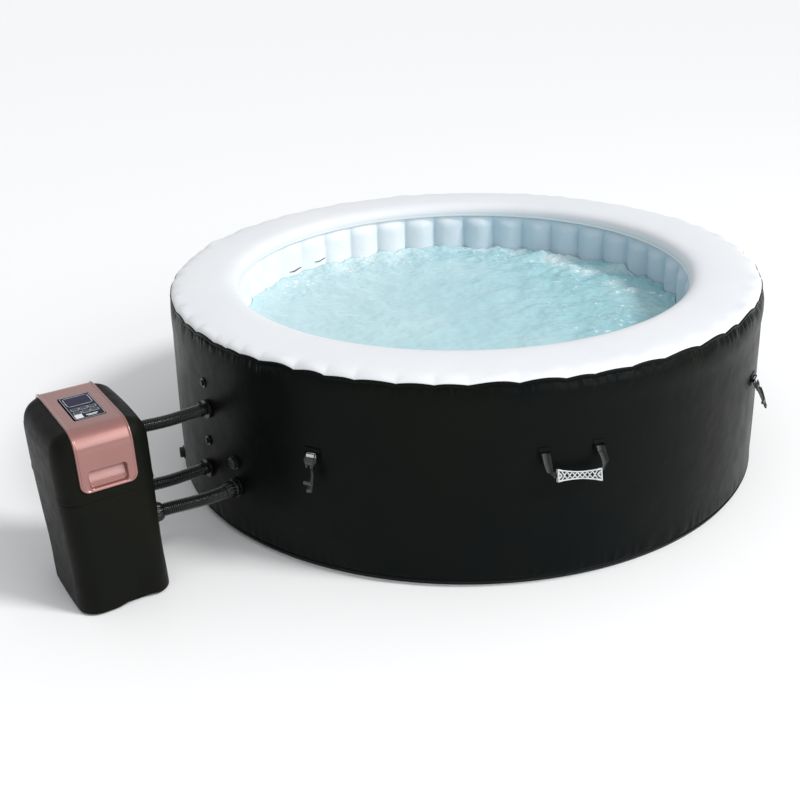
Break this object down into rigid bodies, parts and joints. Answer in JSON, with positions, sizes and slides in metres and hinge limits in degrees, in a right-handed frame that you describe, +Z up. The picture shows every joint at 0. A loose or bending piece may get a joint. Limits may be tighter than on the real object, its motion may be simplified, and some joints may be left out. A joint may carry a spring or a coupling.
{
  "type": "inflatable hot tub",
  "caption": "Round inflatable hot tub with a white rim, black wall, carry handles and lid straps, joined by hoses to a free-standing pump and heater unit.",
  "frame": {"origin": "centre of the tub's underside, on the ground", "axes": "+Z up, the pump unit stands at -X with its front towards -Y"},
  "size_m": [2.567, 2.07, 0.6513],
  "materials": {
    "black_pvc": "satin embossed PVC",
    "black_pvc_patch": "satin PVC patch",
    "white_pvc": "satin white PVC",
    "inner_pvc": "satin pale PVC",
    "floor_pvc": "satin pale PVC",
    "web_fabric": "coated polyester",
    "black_plastic": "moulded",
    "casing_plastic": "fine texture",
    "inner_plastic": "moulded",
    "rose_gold": "metallic rose gold paint",
    "panel_plastic": "gloss",
    "display_glass": "dark display window",
    "key_plastic": "gloss",
    "grip_plastic": "moulded pale grey",
    "webbing": "woven webbing",
    "hose_rubber": "gloss corrugated",
    "seal_rubber": "matt",
    "steel": "brushed",
    "black_steel": "blackened",
    "motor_metal": "painted",
    "board": "circuit board",
    "filter_paper": "pleated paper"
  },
  "bodies": {
    "tub": {"anchor_patches": "black_pvc_patch", "blower_housing": "black_plastic", "blower_motor": "motor_metal", "bubble_ring": "inner_pvc", "check_valves": "black_plastic", "circuit_board": "board", "control_panel": "panel_plastic", "display_lens": "display_glass", "drain_valve": "black_plastic", "filter_cartridge": "filter_paper", "filter_housing": "inner_plastic", "fitting_gaskets": "seal_rubber", "heater_tube": "steel", "hose_air": "hose_rubber", "hose_clamps": "black_steel", "hose_inlet": "hose_rubber", "hose_outlet": "hose_rubber", "housing_screws": "black_steel", "inflation_valve": "black_plastic", "inner_wall": "inner_pvc", "outer_wall": "black_pvc", "power_gland": "black_plastic", "pump_band": "rose_gold", "pump_base_plate": "casing_plastic", "pump_feet": "seal_rubber", "pump_grip_cup": "rose_gold", "pump_hood": "casing_plastic", "pump_lower_housing": "casing_plastic", "pump_spigots": "black_plastic", "pump_to_heater_tube": "seal_rubber", "tension_webs": "web_fabric", "top_rim": "white_pvc", "tub_floor": "floor_pvc", "wall_fittings": "black_plastic", "water_pump_motor": "motor_metal", "water_pump_volute": "black_plastic"},
    "handle_1": {"handle_strap_1": "webbing", "handle_grip_1": "grip_plastic"},
    "handle_2": {"handle_strap_2": "webbing", "handle_grip_2": "grip_plastic"},
    "lid_catch_1": {"lid_strap_1": "webbing"},
    "lid_catch_2": {"lid_strap_2": "webbing"},
    "lid_catch_3": {"lid_strap_3": "webbing"},
    "lid_catch_4": {"lid_strap_4": "webbing"},
    "key_power": {"button_power": "key_plastic"},
    "key_heat": {"button_heat": "key_plastic"},
    "key_filter": {"button_filter": "key_plastic"},
    "key_bubbles": {"button_bubbles": "key_plastic"},
    "key_up": {"button_up": "key_plastic"},
    "key_down": {"button_down": "key_plastic"},
    "pump_nut": {"inlet_nut_pump": "black_plastic"},
    "tub_nut": {"inlet_nut_tub": "black_plastic"},
    "valve_cap": {"inflation_valve_cap": "black_plastic"},
    "drain_cap_body": {"drain_cap": "black_plastic"},
    "impeller": {"water_pump_impeller": "inner_plastic"},
    "fan": {"blower_fan": "inner_plastic"}
  },
  "joints": [
    {"name": "handle_1_swing", "type": "hinge", "parent": "tub", "child": "handle_1", "pos_m": [-0.31444, -0.96775, 0.418], "axis": [-0.9511, 0.309, 0], "range_deg": [0, 120]},
    {"name": "handle_2_swing", "type": "hinge", "parent": "tub", "child": "handle_2", "pos_m": [0.31444, 0.96775, 0.418], "axis": [0.9511, -0.309, 0], "range_deg": [0, 120]},
    {"name": "lid_catch_1_swing", "type": "hinge", "parent": "tub", "child": "lid_catch_1", "pos_m": [-0.88525, -0.5111, 0.385], "axis": [-0.5, 0.866, 0], "range_deg": [0, 120]},
    {"name": "lid_catch_2_swing", "type": "hinge", "parent": "tub", "child": "lid_catch_2", "pos_m": [0.5111, -0.88525, 0.385], "axis": [-0.866, -0.5, 0], "range_deg": [0, 120]},
    {"name": "lid_catch_3_swing", "type": "hinge", "parent": "tub", "child": "lid_catch_3", "pos_m": [0.88525, 0.5111, 0.385], "axis": [0.5, -0.866, 0], "range_deg": [0, 120]},
    {"name": "lid_catch_4_swing", "type": "hinge", "parent": "tub", "child": "lid_catch_4", "pos_m": [-0.5111, 0.88525, 0.385], "axis": [0.866, 0.5, 0], "range_deg": [0, 120]},
    {"name": "key_power_press", "type": "slide", "parent": "tub", "child": "key_power", "axis": [0, 0, -1], "range_m": [0, 0.0012], "stiffness_N_per_m": 600, "springref_m": -0.0005},
    {"name": "key_heat_press", "type": "slide", "parent": "tub", "child": "key_heat", "axis": [0, 0, -1], "range_m": [0, 0.0012], "stiffness_N_per_m": 600, "springref_m": -0.0005},
    {"name": "key_filter_press", "type": "slide", "parent": "tub", "child": "key_filter", "axis": [0, 0, -1], "range_m": [0, 0.0012], "stiffness_N_per_m": 600, "springref_m": -0.0005},
    {"name": "key_bubbles_press", "type": "slide", "parent": "tub", "child": "key_bubbles", "axis": [0, 0, -1], "range_m": [0, 0.0012], "stiffness_N_per_m": 600, "springref_m": -0.0005},
    {"name": "key_up_press", "type": "slide", "parent": "tub", "child": "key_up", "axis": [0, 0, -1], "range_m": [0, 0.0012], "stiffness_N_per_m": 600, "springref_m": -0.0005},
    {"name": "key_down_press", "type": "slide", "parent": "tub", "child": "key_down", "axis": [0, 0, -1], "range_m": [0, 0.0012], "stiffness_N_per_m": 600, "springref_m": -0.0005},
    {"name": "pump_nut_turn", "type": "hinge", "parent": "tub", "child": "pump_nut", "pos_m": [-1.2635, -0.212, 0.18], "axis": [1, 0, 0], "continuous": true},
    {"name": "tub_nut_turn", "type": "hinge", "parent": "tub", "child": "tub_nut", "pos_m": [-1.02251, -0.21715, 0.18], "axis": [-0.9782, -0.2077, 0], "continuous": true},
    {"name": "valve_cap_turn", "type": "hinge", "parent": "tub", "child": "valve_cap", "pos_m": [-1.0047, -0.21064, 0.263], "axis": [-0.9787, -0.2052, 0], "continuous": true},
    {"name": "drain_cap_turn", "type": "hinge", "parent": "tub", "child": "drain_cap_body", "pos_m": [-0.97256, 0.35398, 0.048], "axis": [-0.9397, 0.342, 0], "continuous": true},
    {"name": "impeller_spin", "type": "hinge", "parent": "tub", "child": "impeller", "pos_m": [-1.36, -0.212, 0.18], "axis": [1, 0, 0], "continuous": true},
    {"name": "fan_spin", "type": "hinge", "parent": "tub", "child": "fan", "pos_m": [-1.42, -0.115, 0.4], "axis": [0, 0, 1], "continuous": true}
  ]
}
